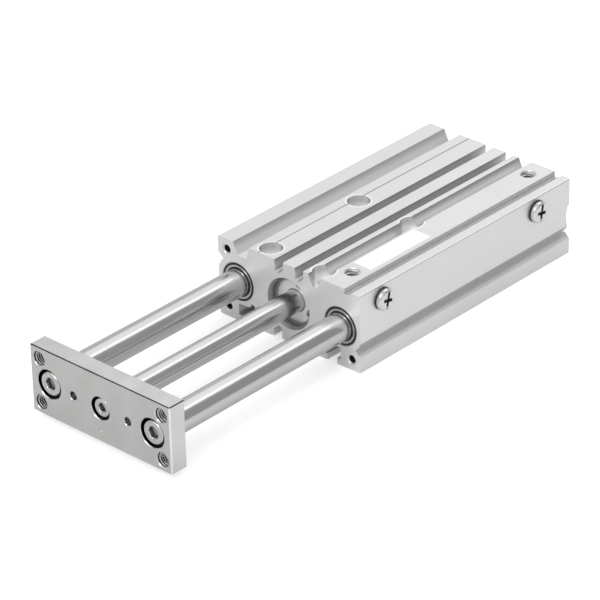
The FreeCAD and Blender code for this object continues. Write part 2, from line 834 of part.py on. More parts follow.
def port_plug(y, turn):
    """Pan-head plug screw with a slot and a cross recess, its axis along X, turned to an angle."""
    under = half_width + gasket_thickness
    top = under + plug_head_height
    radius = plug_head_d / 2
    flat_r = radius - plug_shoulder
    shoulder_x = top - plug_shoulder
    reach = plug_shoulder * math.sqrt(0.5)
    rim = Vector(shoulder_x, y, side_port_z + radius)
    shoulder = Vector(shoulder_x + reach, y, side_port_z + flat_r + reach)
    flat_edge = Vector(top, y, side_port_z + flat_r)
    crown = Vector(top, y, side_port_z)
    shank_r = port_thread_d / 2 - screw_thread_clearance
    tip = half_width - plug_length
    lower = [flat_edge, crown, Vector(tip, y, side_port_z), Vector(tip, y, side_port_z + shank_r),
             Vector(under, y, side_port_z + shank_r), Vector(under, y, side_port_z + radius), rim]
    wire = Part.Wire([Part.makePolygon(lower), Part.Arc(rim, shoulder, flat_edge).toShape()])
    plug = Part.Face(wire).revolve(Vector(0, y, side_port_z), Vector(1, 0, 0), 360)
    slot = Part.makeBox(plug_slot_depth + over, plug_head_d + 2 * over, plug_slot_width,
                        Vector(top - plug_slot_depth, y - radius - over, side_port_z - plug_slot_width / 2))
    cross_corner = Vector(top - plug_cross_depth, y - plug_cross_length / 2,
                          side_port_z - plug_slot_width / 2)
    long_arm = Part.makeBox(plug_cross_depth + over, plug_cross_length, plug_slot_width, cross_corner)
    short_arm = long_arm.copy()
    short_arm.rotate(crown, Vector(1, 0, 0), 90)
    recess = slot.multiFuse([long_arm, short_arm])
    recess.rotate(crown, Vector(1, 0, 0), turn)
    return plug.cut(recess)


def side_port_plugs():
    """Both plug screws. They were tightened by hand, so each recess lies at its own angle."""
    return joined([port_plug(side_port_front_y, plug_front_turn), port_plug(side_port_rear, plug_rear_turn)])


def side_port_gaskets():
    """Flat sealing washers under the plug heads."""
    washers = []
    for y in (side_port_front_y, side_port_rear):
        base = Vector(half_width, y, side_port_z)
        ring = Part.makeCylinder(gasket_d / 2, gasket_thickness, base, Vector(1, 0, 0))
        hole = Part.makeCylinder(port_thread_d / 2, gasket_thickness, base, Vector(1, 0, 0))
        washers.append(ring.cut(hole))
    return joined(washers)


def name_label():
    """Blank label on the right land of the top."""
    left = half_width - label_from_side - label_width
    label = Part.makeBox(label_width, label_length, label_thickness,
                         Vector(left, label_from_front, body_height))
    corners = [edge for edge in label.Edges if abs(edge.Length - label_thickness) < assembly_clearance]
    return label.makeFillet(label_corner, corners)


def build():
    """Every sub-part by name, still measured from the housing's front face."""
    parts = {
        "cylinder_body": cylinder_body(),
        "rod_cover": rod_cover(),
        "rod_seal": rod_seal(),
        "rod_bush": rod_bush(),
        "rod_cover_oring": cover_oring(front_oring_groove()),
        "rod_cover_ring": retaining_ring(cover_front - ring_thickness - assembly_clearance),
        "head_cover": head_cover(),
        "head_cover_oring": cover_oring(rear_oring_groove()),
        "head_cover_ring": retaining_ring(head_rear + assembly_clearance),
        "side_port_plugs": side_port_plugs(),
        "side_port_gaskets": side_port_gaskets(),
        "name_label": name_label(),
        "end_plate": end_plate(),
        "piston_rod": piston_rod(),
        "piston": piston(),
        "piston_seal": piston_seal(),
        "magnet_ring": magnet_ring(),
        "wear_ring": wear_ring(),
        "front_bumper": bumper(piston_front),
        "rear_bumper": bumper(piston_rear - bumper_length),
        "guide_rod_screws": guide_rod_screws(),
        "piston_rod_screw": piston_rod_screw()}
    for side, x in (("left", -guide_x), ("right", guide_x)):
        parts["front_bush_" + side] = guide_bush(x, first_bush)
        parts["rear_bush_" + side] = guide_bush(x, second_bush)
        parts["guide_wiper_" + side] = guide_wiper(x)
        parts["wiper_case_" + side] = wiper_case(x)
        parts["guide_rod_" + side] = guide_rod(x)
    return parts


def export(parts):
    """Moves the origin to the centre of the base threads and writes one file per sub-part."""
    os.makedirs("parts", exist_ok=True)
    for name, shape in parts.items():
        placed = shape.copy()
        placed.translate(Vector(0, -pattern_y, 0))
        placed.exportStep("parts/" + name + ".step")


export(build())
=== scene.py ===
import json
import math

import bpy
from mathutils import Matrix, Vector

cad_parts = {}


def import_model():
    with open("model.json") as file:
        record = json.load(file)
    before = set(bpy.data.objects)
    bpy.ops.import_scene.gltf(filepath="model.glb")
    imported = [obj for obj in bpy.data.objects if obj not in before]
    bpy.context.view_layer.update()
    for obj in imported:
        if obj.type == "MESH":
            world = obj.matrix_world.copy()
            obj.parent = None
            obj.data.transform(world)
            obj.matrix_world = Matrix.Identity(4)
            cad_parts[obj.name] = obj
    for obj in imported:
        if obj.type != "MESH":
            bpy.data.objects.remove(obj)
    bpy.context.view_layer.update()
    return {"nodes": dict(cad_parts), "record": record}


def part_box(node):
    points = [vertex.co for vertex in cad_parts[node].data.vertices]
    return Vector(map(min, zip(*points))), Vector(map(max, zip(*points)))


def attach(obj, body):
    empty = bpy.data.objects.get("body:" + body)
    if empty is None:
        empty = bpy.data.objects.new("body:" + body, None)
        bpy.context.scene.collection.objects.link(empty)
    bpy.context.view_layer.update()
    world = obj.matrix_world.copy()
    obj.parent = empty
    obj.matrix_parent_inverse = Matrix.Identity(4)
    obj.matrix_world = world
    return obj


# Looks of the guided pneumatic cylinder. Metres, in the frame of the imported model: X across the
# width, Y along the stroke with the end plate at negative Y, Z up, the floor at Z = 0.
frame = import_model()
nodes = frame["nodes"]
mounts = {mount["name"]: mount for mount in frame["record"]["mounts"]}

MM = 0.001
BODY_LOW, BODY_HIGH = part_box("cylinder_body")
FRONT_FACE = BODY_LOW.y
PLATE_LOW, PLATE_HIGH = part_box("end_plate")

# Camera, fitted to the edges of the housing and the plate
CAMERA_AZIMUTH = 43.235
CAMERA_ELEVATION = 29.463
CAMERA_ROLL = -1.486
CAMERA_LENS = 235.89
CAMERA_SENSOR = 36.0
CAMERA_RIGHT = 3.491 * MM
CAMERA_UP = 14.4 * MM
CAMERA_DISTANCE = 1320.93 * MM

# Axes along Y, as X and Z in metres
BORE_AXIS = (0.0, 15.0 * MM)
GUIDE_ROD_AXES = [(-23.25 * MM, 15.0 * MM), (23.25 * MM, 15.0 * MM)]

# Point that the lamps and cards look at
STUDIO_CENTRE = Vector((0.0, FRONT_FACE, BORE_AXIS[1]))

# Floor and the sheet over it in metres, and where that sheet grows lighter in millimetres
FLOOR_SIZE = 12.0
TABLE_SIZE = 3.0
TABLE_LIFT = 0.3 * MM
TABLE_LIGHTER_FROM_X = (25.0, 45.0)

# Threads, in millimetres
M5_PITCH = 0.8
M3_PITCH = 0.5
PLATE_CHAMFER = 0.3
PORT_CHAMFER = 0.4
END_HOLE_CHAMFER = 0.45
BASE_THREAD_DEPTH = 12.0
PORT_THREAD_DEPTH = 5.4
END_THREAD_DEPTH = 7.4
THREAD_SEAT = 0.015

# A thread's profile as shares of its pitch, and its steps in one turn
THREAD_HEIGHT = 0.5413
THREAD_ROOT_HALF = 0.45
THREAD_CREST_HALF = 0.12
THREAD_STEPS = 40


def near(edge, first, second):
    """Two places in millimetres, measured from an edge or a face of the part."""
    return edge + first, edge + second


# Shades at fixed places on the housing, matched to the photograph: mostly painted shade and painted light,
# besides the counterbores' own colour. Each is a soft edge: a shade grows or fades between its two places,
# in millimetres along the axis that ends its name.
RIGHT = BODY_HIGH.x / MM
TOP = BODY_HIGH.z / MM
FRONT = FRONT_FACE / MM
PAINTED_SHADE_TO_X = (16.0, 24.0)
PAINTED_SHADE_TO_Z = (5.0, 16.0)
PAINTED_LIGHT_FROM_X = near(RIGHT, -7.0, -1.0)
CORNER_FROM_X = near(RIGHT, -6.8, -6.6)
CORNER_TO_X = near(RIGHT, -0.6, -0.4)
CORNER_FROM_Z = near(TOP, -2.2, -2.1)
STEP_TO_Z = near(TOP, -1.1, -0.9)
WALL_ALONG_X = (-25.0, 10.0)
WALL_TO_X = near(RIGHT, -1.0, -0.8)
WALL_FROM_Z = near(TOP, -2.4, -0.1)
GROOVE_FROM_X = near(RIGHT, -4.0, -3.9)
GROOVE_TO_X = near(RIGHT, -0.15, -0.05)
GROOVE_FROM_Z = (6.4, 7.2)
GROOVE_TO_Z = (10.2, 10.9)
APEX_FROM_Z = (7.3, 7.9)
APEX_TO_Z = (8.8, 9.8)
FLANK_FROM_Z = (10.2, 11.3)
FLANK_TO_Z = (11.3, 11.5)
DARK_LINE_FROM_X = near(RIGHT, -0.1, -0.05)
DARK_LINE_FROM_Z = near(TOP, -1.15, -1.05)
DARK_LINE_TO_Z = near(TOP, -0.85, -0.8)
PALE_LINE_FROM_X = near(RIGHT, -0.3, -0.2)
PALE_LINE_FROM_Z = near(TOP, -0.82, -0.76)
COUNTERBORE_FROM_Z = near(TOP, -10.0, -9.5)
COUNTERBORE_FLOOR_Z = near(TOP, -3.6, -1.8)
RIM_FROM_Z = near(TOP, -0.1, -0.05)
END_HOLE_FROM_Y = near(FRONT, 0.5, 0.8)
END_HOLE_TO_Y = near(FRONT, 9.0, 9.5)

# The same for distances in millimetres from an axis, or for the last two from the plate's edges
COUNTERBORE_RADIUS = (4.15, 4.25)
RIM_RADIUS = (4.7, 4.8)
BORE_RADIUS = (9.6, 9.7)
END_HOLE_RADIUS = (1.6, 1.75)
GUIDE_SINK_RADIUS = (5.25, 5.35)
PISTON_SINK_RADIUS = (4.15, 4.25)
GUIDE_KEY_RADIUS = (2.3, 2.4)
PISTON_KEY_RADIUS = (1.75, 1.85)
PLUG_RECESS_RADIUS = (2.5, 2.6)
THREAD_ROOT_FROM = (2.25, 2.4)
THREAD_ROOT_TO = (2.55, 2.6)
PLATE_CORNER_RADIUS = (0.45, 0.6)
PLATE_EDGE_WIDTH = (0.28, 0.36)

# The same for depths behind the plate's front face, in millimetres
SINK_DEPTH = (0.3, 0.5)
GUIDE_KEY_DEPTH = (0.8, 1.0)
PISTON_KEY_DEPTH = (1.1, 1.3)

# The same along X from the outer face of the plugs' heads, in millimetres
PLUG_RECESS_TO_X = (-0.3, -0.15)

# How far a surface has to face a direction, from 0 to 1
FACES_END = (0.9, 0.99)
FACES_UP = (0.8, 0.95)
FACES_RIGHT = (0.6, 0.85)
SLOPES_RIGHT = (0.1, 0.4)
FACES_CAMERA = (0.25, 0.75)

# Level direction towards the camera: its X, and its Y without the minus sign
TOWARDS_X, TOWARDS_Y = 0.685, 0.728

# Distance between the rings that the lathe leaves, in millimetres
TOOL_FEED = 0.22


def cool(level):
    """Grey with a trace more blue."""
    return level, level, level + 0.002


def warm(level):
    """Grey with a trace less blue."""
    return level, level, level - 0.002


class Shader:
    """One material's nodes, with short calls for the few kinds that it uses."""

    def __init__(self, name):
        self.material = bpy.data.materials.new(name)
        self.material.use_nodes = True
        self.tree = self.material.node_tree
        self.tree.nodes.clear()
        self.output = self.tree.nodes.new("ShaderNodeOutputMaterial")
        self.surface = self.tree.nodes.new("ShaderNodeBsdfPrincipled")
        self.tree.links.new(self.surface.outputs["BSDF"], self.output.inputs["Surface"])
        self.coordinates = self.tree.nodes.new("ShaderNodeTexCoord")

    def put(self, socket, value):
        """Sets a socket, or links it where the value is another node's output."""
        if isinstance(value, bpy.types.NodeSocket):
            self.tree.links.new(value, socket)
        else:
            socket.default_value = value

    def set(self, **inputs):
        """Principled inputs by name, underscores for spaces."""
        for name, value in inputs.items():
            if name == "Base_Color" and isinstance(value, tuple):
                value = (*value, 1.0)
            self.put(self.surface.inputs[name.replace("_", " ")], value)

    def place(self, stretch=(1.0, 1.0, 1.0)):
        """Object coordinates in millimetres, multiplied along each axis."""
        mapping = self.tree.nodes.new("ShaderNodeMapping")
        self.tree.links.new(self.coordinates.outputs["Object"], mapping.inputs["Vector"])
        mapping.inputs["Scale"].default_value = tuple(factor / MM for factor in stretch)
        return mapping.outputs["Vector"]

    def noise(self, stretch, detail, rough=0.5):
        """Noise over the object; a larger stretch makes it finer along that axis."""
        node = self.tree.nodes.new("ShaderNodeTexNoise")
        self.tree.links.new(self.place(stretch), node.inputs["Vector"])
        node.inputs["Scale"].default_value = 1.0
        node.inputs["Detail"].default_value = detail
        node.inputs["Roughness"].default_value = rough
        return node.outputs["Fac"]

    def math(self, operation, first, second=0.0, third=0.0):
        node = self.tree.nodes.new("ShaderNodeMath")
        node.operation = operation
        self.put(node.inputs[0], first)
        self.put(node.inputs[1], second)
        self.put(node.inputs[2], third)
        return node.outputs[0]

    def span(self, value, low, high, to_low=0.0, to_high=1.0):
        """Maps one range onto another and holds it at the ends."""
        node = self.tree.nodes.new("ShaderNodeMapRange")
        self.put(node.inputs["Value"], value)
        for name, number in zip(("From Min", "From Max", "To Min", "To Max"), (low, high, to_low, to_high)):
            self.put(node.inputs[name], number)
        return node.outputs["Result"]

    def fade(self, value, low, high):
        """1 below a range and 0 above it."""
        return self.span(value, low, high, 1.0, 0.0)

    def within(self, value, start, end):
        """1 between two soft edges, each a pair of numbers, and 0 outside."""
        return self.both(self.span(value, *start), self.fade(value, *end))

    def tint(self, value, first, second):
        """Colour between two colours: the first at 0, the second at 1."""
        node = self.tree.nodes.new("ShaderNodeMix")
        node.data_type = "RGBA"
        self.put(node.inputs["Factor"], value)
        for socket, colour in zip([s for s in node.inputs if s.type == "RGBA"], (first, second)):
            self.put(socket, (*colour, 1.0) if isinstance(colour, tuple) else colour)
        return [s for s in node.outputs if s.type == "RGBA"][0]

    def axis_share(self, axis):
        """How much the surface faces along an axis, either way, from 0 to 1."""
        return self.math("ABSOLUTE", self.facing(axis))

    def facing(self, axis):
        """How much the surface faces along an axis, from -1 to 1."""
        split = self.tree.nodes.new("ShaderNodeSeparateXYZ")
        self.tree.links.new(self.coordinates.outputs["Normal"], split.inputs["Vector"])
        return split.outputs[axis]

    def along(self, axis):
        """Place along an axis in millimetres."""
        split = self.tree.nodes.new("ShaderNodeSeparateXYZ")
        self.tree.links.new(self.place(), split.inputs["Vector"])
        return split.outputs[axis]

    def radius_from(self, first, second, axes="XZ"):
        """Distance in millimetres from a line across the two named axes; its place is in metres."""
        across = self.math("POWER", self.math("SUBTRACT", self.along(axes[0]), first / MM), 2.0)
        up = self.math("POWER", self.math("SUBTRACT", self.along(axes[1]), second / MM), 2.0)
        return self.math("SQRT", self.math("ADD", across, up))

    def nearest(self, lines, axes="XZ"):
        """Distance in millimetres from the nearest of several parallel lines."""
        found = None
        for first, second in lines:
            distance = self.radius_from(first, second, axes)
            found = distance if found is None else self.math("MINIMUM", found, distance)
        return found

    def both(self, *masks):
        """Where all the masks are 1."""
        found = masks[0]
        for mask in masks[1:]:
            found = self.math("MULTIPLY", found, mask)
        return found

    def recess(self, distance):
        """How open the surface lies to its own surroundings, 0 deep in a slot and 1 in the open."""
        node = self.tree.nodes.new("ShaderNodeAmbientOcclusion")
        node.samples = 8
        node.only_local = True
        node.inputs["Distance"].default_value = distance * MM
        return node.outputs["AO"]

    def bump(self, height, strength, distance, normal=None):
        """Bump; its distance is in millimetres."""
        node = self.tree.nodes.new("ShaderNodeBump")
        self.put(node.inputs["Height"], height)
        node.inputs["Strength"].default_value = strength
        node.inputs["Distance"].default_value = distance * MM
        if normal is not None:
            self.tree.links.new(normal, node.inputs["Normal"])
        self.tree.links.new(node.outputs["Normal"], self.surface.inputs["Normal"])

    def soft_edges(self, radius):
        """Normal that rounds every edge a little."""
        node = self.tree.nodes.new("ShaderNodeBevel")
        node.samples = 4
        node.inputs["Radius"].default_value = radius * MM
        return node.outputs["Normal"]


def sawn_ends(shader, skin, grain, end_face):
    """Sawn end faces over the skin, with painted shade low down away from the right and painted light near
    the right.
    """
    x, z = shader.along("X"), shader.along("Z")
    sawn = shader.tint(shader.span(grain, 0.3, 0.7), warm(0.76), warm(0.82))
    # Painted shade low down on the sawn ends, away from the right.
    low_shade = shader.both(shader.fade(z, *PAINTED_SHADE_TO_Z), shader.fade(x, *PAINTED_SHADE_TO_X))
    sawn = shader.tint(low_shade, sawn, warm(0.72))
    # Painted light on the sawn ends near the right side.
    sawn = shader.tint(shader.span(x, *PAINTED_LIGHT_FROM_X), sawn, warm(0.92))
    return shader.tint(end_face, skin, sawn)


def slots_and_corner(shader, colour, not_end):
    """Painted shade deep in the slots and on walls that face right, and painted light on the stepped corner.
    """
    x, z = shader.along("X"), shader.along("Z")
    corner = shader.both(shader.within(x, CORNER_FROM_X, CORNER_TO_X), shader.span(z, *CORNER_FROM_Z))
    # Painted shade in slots and recesses, by how open the surface lies; none on the stepped corner.
    openness = shader.math("MAXIMUM", shader.span(shader.recess(5.0), 0.05, 0.6), corner)
    colour = shader.tint(openness, cool(0.24), colour)
    # Painted shade on walls that face right near the top, and in the stepped corner.
    wall_shade = shader.both(shader.span(z, *WALL_FROM_Z), shader.span(x, *WALL_ALONG_X, 0.6, 1.0))
    wall_shade = shader.math("MAXIMUM", wall_shade, shader.both(corner, 0.85))
    wall_shade = shader.both(wall_shade, shader.fade(x, *WALL_TO_X), shader.span(shader.facing("X"), *FACES_RIGHT))
    colour = shader.tint(wall_shade, colour, cool(0.36))
    # Painted light on the stepped corner's floor and slope.
    step = shader.both(corner, shader.fade(shader.facing("X"), *SLOPES_RIGHT), shader.fade(z, *STEP_TO_Z))
    return shader.tint(shader.both(step, not_end), colour, cool(0.92))


def side_groove(shader, colour, not_end):
    """The right side's groove in painted shade: grey inside, less so at its deepest line, darkest on its
    upper flank.
    """
    z = shader.along("Z")
    inside = shader.both(shader.within(shader.along("X"), GROOVE_FROM_X, GROOVE_TO_X), not_end)
    off_apex = shader.math("MAXIMUM", shader.span(z, *APEX_FROM_Z, 1.0, 0.6),
                           shader.span(z, *APEX_TO_Z, 0.6, 1.0))
    # Painted shade inside the groove, and more on its upper flank.
    groove = shader.both(inside, shader.within(z, GROOVE_FROM_Z, GROOVE_TO_Z), off_apex)
    colour = shader.tint(groove, colour, cool(0.58))
    flank = shader.both(inside, shader.within(z, FLANK_FROM_Z, FLANK_TO_Z))
    return shader.tint(flank, colour, cool(0.36))


def side_edge(shader, colour):
    """A thin line of painted shade and a thin painted highlight along the right side's upper edge."""
    x, z = shader.along("X"), shader.along("Z")
    line = shader.both(shader.within(z, DARK_LINE_FROM_Z, DARK_LINE_TO_Z), shader.span(x, *DARK_LINE_FROM_X))
    colour = shader.tint(line, colour, cool(0.34))
    line = shader.both(shader.span(z, *PALE_LINE_FROM_Z), shader.span(x, *PALE_LINE_FROM_X))
    return shader.tint(line, colour, cool(0.97))


def counterbores(shader, colour):
    """Freshly cut counterbores, with painted shade on two sides, painted light low down and a painted
    highlight on the rim: their colour, and where they are.
    """
    z = shader.along("Z")
    radius = shader.nearest([(spot.x, spot.y) for spot in rectangle(mounts["bottom_threads"])], "XY")
    sink = shader.both(shader.fade(radius, *COUNTERBORE_RADIUS), shader.span(z, *COUNTERBORE_FROM_Z))
    colour = shader.tint(sink, colour, warm(0.68))
    # Painted light low down in the counterbores.
    colour = shader.tint(shader.both(sink, shader.fade(z, *COUNTERBORE_FLOOR_Z)), colour, warm(0.98))
    # Painted shade on the two sides that lie edge-on to the level direction towards the camera.
    towards = shader.math("SUBTRACT", shader.math("MULTIPLY", shader.facing("X"), TOWARDS_X),
                          shader.math("MULTIPLY", shader.facing("Y"), TOWARDS_Y))
    dark = shader.both(sink, shader.fade(shader.math("ABSOLUTE", towards), *FACES_CAMERA),
                       shader.fade(shader.axis_share("Z"), *FACES_UP))
    colour = shader.tint(dark, colour, cool(0.26))
    # Painted highlight round each counterbore's rim.
    rim = shader.both(shader.fade(radius, *RIM_RADIUS), shader.span(shader.axis_share("Z"), *FACES_UP),
                      shader.span(z, *RIM_FROM_Z))
    return shader.tint(rim, colour, warm(0.98)), sink


def bore_and_end_holes(shader, colour, not_end):
    """Painted shade on the inside of the bore and in the end holes."""
    # Painted shade on the bore's inside.
    bore = shader.both(shader.fade(shader.radius_from(*BORE_AXIS), *BORE_RADIUS), not_end)
    colour = shader.tint(bore, colour, cool(0.34))
    # Painted shade in the end holes.
    hole = shader.both(shader.fade(shader.nearest(end_hole_places()), *END_HOLE_RADIUS),
                       shader.within(shader.along("Y"), END_HOLE_FROM_Y, END_HOLE_TO_Y))
    return shader.tint(hole, colour, (0.02, 0.02, 0.02))


def anodised_aluminium():
    """Satin anodised extrusion: faint die lines along Y, flatter sawn ends, and painted shade and painted
    light in its slots, at its right-hand edges and in its holes."""
    shader = Shader("anodised_aluminium")
    die_lines = shader.noise((3.0, 0.02, 3.0), 4.0, 0.6)
    blotches = shader.noise((0.05, 0.03, 0.05), 3.0)
    grain = shader.noise((9.0, 9.0, 9.0), 2.0)
    end_face = shader.span(shader.axis_share("Y"), *FACES_END)
    not_end = shader.fade(end_face, 0.0, 1.0)
    tone = shader.math("MULTIPLY_ADD", die_lines, 0.5, shader.math("MULTIPLY", blotches, 0.5))
    skin = shader.tint(shader.span(tone, 0.35, 0.65), (0.76, 0.762, 0.76), (0.82, 0.822, 0.82))
    colour = sawn_ends(shader, skin, grain, end_face)
    colour = slots_and_corner(shader, colour, not_end)
    colour = side_groove(shader, colour, not_end)
    colour = side_edge(shader, colour)
    colour, sink = counterbores(shader, colour)
    colour = bore_and_end_holes(shader, colour, not_end)
    metal = shader.math("MULTIPLY_ADD", end_face, -0.3, shader.span(sink, 0.0, 1.0, 0.75, 0.2))
    satin = shader.span(die_lines, 0.3, 0.7, 0.34, 0.42)
    roughness = shader.math("MULTIPLY_ADD", end_face, 0.02, satin)
    shader.set(Base_Color=colour, Metallic=metal, Roughness=roughness)
    relief = shader.math("ADD", grain, shader.math("MULTIPLY", die_lines, 0.6))
    shader.bump(relief, 0.22, 0.005, shader.soft_edges(0.15))
    return shader.material


def plate_steel():
    """Nickel plated ground steel: fine grinding lines along X, a faint cloudiness, painted light on the top
    face, painted shade in the counterbores and thread roots, a painted highlight on the upright front edge
    at the right, and painted dark reflections along the top's front and right edges."""
    shader = Shader("plate_steel")
    ground = shader.noise((0.05, 7.0, 7.0), 3.0, 0.6)
    cloud = shader.noise((0.12, 0.12, 0.08), 3.0)
    speck = shader.noise((5.0, 5.0, 5.0), 2.0)
    tone = shader.math("MULTIPLY_ADD", ground, 0.4, shader.math("MULTIPLY", cloud, 0.6))
    colour = shader.tint(shader.span(tone, 0.35, 0.65), (0.65, 0.648, 0.642), (0.72, 0.718, 0.71))
    x, y, z = (shader.along(axis) for axis in "XYZ")
    front, high, right = PLATE_LOW.y / MM, PLATE_HIGH.z / MM, PLATE_HIGH.x / MM
    # Painted shade in the screw counterbores and the thread roots, behind the front face.
    sunk_shade = shader.span(y, *near(front, *SINK_DEPTH))
    for axes, radius in ((GUIDE_ROD_AXES, GUIDE_SINK_RADIUS), ([BORE_AXIS], PISTON_SINK_RADIUS)):
        sink = shader.both(sunk_shade, shader.fade(shader.nearest(axes), *radius))
        colour = shader.tint(sink, colour, (0.05, 0.05, 0.05))
    thread_axes = [(spot.x, spot.z) for spot in rectangle(mounts["plate_threads"])]
    roots = shader.within(shader.nearest(thread_axes), THREAD_ROOT_FROM, THREAD_ROOT_TO)
    colour = shader.tint(shader.both(sunk_shade, roots), colour, (0.07, 0.07, 0.07))
    # Painted highlight along the upright front edge at the right.
    upright = shader.fade(shader.radius_from(PLATE_HIGH.x, PLATE_LOW.y, "XY"), *PLATE_CORNER_RADIUS)
    colour = shader.tint(upright, colour, warm(0.86))
    # Painted light on the top face.
    painted_light_top = shader.tint(cloud, (0.72, 0.718, 0.712), (0.80, 0.798, 0.79))
    colour = shader.tint(shader.span(shader.facing("Z"), *FACES_END), colour, painted_light_top)
    # Painted dark reflections along the top's front and right edges.
    from_front = shader.math("ABSOLUTE", shader.math("SUBTRACT", y, front))
    from_right = shader.math("ABSOLUTE", shader.math("SUBTRACT", x, right))
    from_edge = shader.math("MAXIMUM", shader.math("SUBTRACT", high, z),
                            shader.math("MINIMUM", from_front, from_right))
    colour = shader.tint(shader.fade(from_edge, *PLATE_EDGE_WIDTH), colour, (0.07, 0.07, 0.07))
    shader.set(Base_Color=colour, Metallic=1.0, Roughness=shader.span(cloud, 0.3, 0.7, 0.2, 0.3))
    relief = shader.math("ADD", ground, shader.math("MULTIPLY", speck, 0.5))
    shader.bump(relief, 0.2, 0.004, shader.soft_edges(0.05))
    return shader.material


def rod_chrome():
    """Hard chrome over a ground rod: very fine rings round the axis."""
    shader = Shader("rod_chrome")
    rings = shader.noise((0.3, 14.0, 0.3), 2.0)
    film = shader.noise((0.15, 0.03, 0.15), 2.0)
    colour = shader.tint(shader.span(film, 0.35, 0.65), (0.57, 0.573, 0.575), (0.61, 0.613, 0.615))
    shader.set(Base_Color=colour, Metallic=1.0, Roughness=shader.span(film, 0.3, 0.7, 0.19, 0.24))
    shader.bump(rings, 0.12, 0.002)
    return shader.material


def screw_steel():
    """Zinc plated screws with a slightly dull skin and painted shade in the key sockets."""
    shader = Shader("screw_steel")
    grain = shader.noise((6.0, 6.0, 6.0), 3.0)
    patch = shader.noise((0.5, 0.5, 0.5), 2.0)
    colour = shader.tint(shader.span(patch, 0.35, 0.65), (0.62, 0.615, 0.605), (0.72, 0.715, 0.705))
    # Painted shade in the key sockets.
    for axes, radius, depth in ((GUIDE_ROD_AXES, GUIDE_KEY_RADIUS, GUIDE_KEY_DEPTH),
                                ([BORE_AXIS], PISTON_KEY_RADIUS, PISTON_KEY_DEPTH)):
        key = shader.both(shader.fade(shader.nearest(axes), *radius),
                          shader.span(shader.along("Y"), *near(PLATE_LOW.y / MM, *depth)))
        colour = shader.tint(key, colour, warm(0.36))
    shader.set(Base_Color=colour, Metallic=1.0, Roughness=shader.span(grain, 0.3, 0.7, 0.22, 0.34))
    shader.bump(grain, 0.3, 0.008, shader.soft_edges(0.06))
    return shader.material


def turned_aluminium(name, dark, light, metal):
    """Lathe-turned aluminium: fine rings about the bore's axis."""
    shader = Shader(name)
    turn_phase = shader.math("MULTIPLY", shader.radius_from(*BORE_AXIS), 2.0 * math.pi / TOOL_FEED)
    rings = shader.math("SINE", turn_phase)
    waver = shader.noise((1.5, 1.5, 1.5), 2.0)
    tone = shader.math("MULTIPLY_ADD", rings, 0.06, waver)
    shader.set(Base_Color=shader.tint(shader.span(tone, 0.3, 0.7), dark, light), Metallic=metal,
               Roughness=shader.span(waver, 0.3, 0.7, 0.34, 0.40))
    shader.bump(rings, 0.12, 0.003, shader.soft_edges(0.05))
    return shader.material


def rubber(name, dark, light):
    """Moulded rubber with a fine matte skin."""
    shader = Shader(name)
    grain = shader.noise((8.0, 8.0, 8.0), 3.0)
    wipe = shader.noise((0.8, 0.8, 0.8), 2.0)
    shader.set(Base_Color=shader.tint(shader.span(wipe, 0.3, 0.7), dark, light),
               Roughness=shader.span(grain, 0.3, 0.7, 0.42, 0.62))
    shader.bump(grain, 0.3, 0.01)
    return shader.material


def bush_bronze():
    """Sintered bronze with open pores."""
    shader = Shader("bush_bronze")
    pores = shader.noise((6.0, 6.0, 6.0), 4.0, 0.7)
    colour = shader.tint(shader.span(pores, 0.35, 0.6), (0.30, 0.19, 0.10), (0.60, 0.41, 0.23))
    shader.set(Base_Color=colour, Metallic=0.9, Roughness=shader.span(pores, 0.3, 0.7, 0.5, 0.35))
    shader.bump(pores, 0.5, 0.02)
    return shader.material


def ring_steel():
    """Phosphated spring steel, nearly black, with softly rounded edges."""
    shader = Shader("ring_steel")
    grain = shader.noise((7.0, 7.0, 7.0), 3.0)
    colour = shader.tint(shader.span(grain, 0.35, 0.7), (0.26, 0.26, 0.262), (0.34, 0.338, 0.336))
    shader.set(Base_Color=colour, Metallic=0.5, Roughness=shader.span(grain, 0.3, 0.7, 0.3, 0.45))
    shader.bump(grain, 0.3, 0.01, shader.soft_edges(0.05))
    return shader.material


def case_steel():
    """Bright rolled steel of the wipers' metal rings."""
    shader = Shader("case_steel")
    rolled = shader.noise((2.5, 2.5, 2.5), 3.0)
    colour = shader.tint(shader.span(rolled, 0.3, 0.7), (0.50, 0.50, 0.50), (0.62, 0.62, 0.62))
    shader.set(Base_Color=colour, Metallic=1.0, Roughness=shader.span(rolled, 0.3, 0.7, 0.2, 0.32))
    shader.bump(rolled, 0.2, 0.006, shader.soft_edges(0.08))
    return shader.material


def plug_steel():
    """Bright, slightly uneven nickel plating on the plug screws, with painted shade in their recesses."""
    shader = Shader("plug_steel")
    uneven = shader.noise((1.2, 1.2, 1.2), 2.0)
    grain = shader.noise((8.0, 8.0, 8.0), 2.0)
    colour = shader.tint(shader.span(uneven, 0.35, 0.65), (0.68, 0.675, 0.66), (0.78, 0.775, 0.76))
    low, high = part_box("side_port_plugs")
    head = (high.z - low.z) / 2
    plugs = [(low.y + head, low.z + head), (high.y - head, low.z + head)]
    # Painted shade in the plugs' recesses.
    sunk_shade = shader.both(shader.fade(shader.along("X"), *near(high.x / MM, *PLUG_RECESS_TO_X)),
                       shader.fade(shader.nearest(plugs, "YZ"), *PLUG_RECESS_RADIUS))
    colour = shader.tint(sunk_shade, colour, (0.26, 0.258, 0.254))
    shader.set(Base_Color=colour, Metallic=1.0, Roughness=shader.span(grain, 0.3, 0.7, 0.14, 0.24))
    shader.bump(shader.math("ADD", uneven, shader.math("MULTIPLY", grain, 0.2)), 0.3, 0.03,
                shader.soft_edges(0.15))
    return shader.material


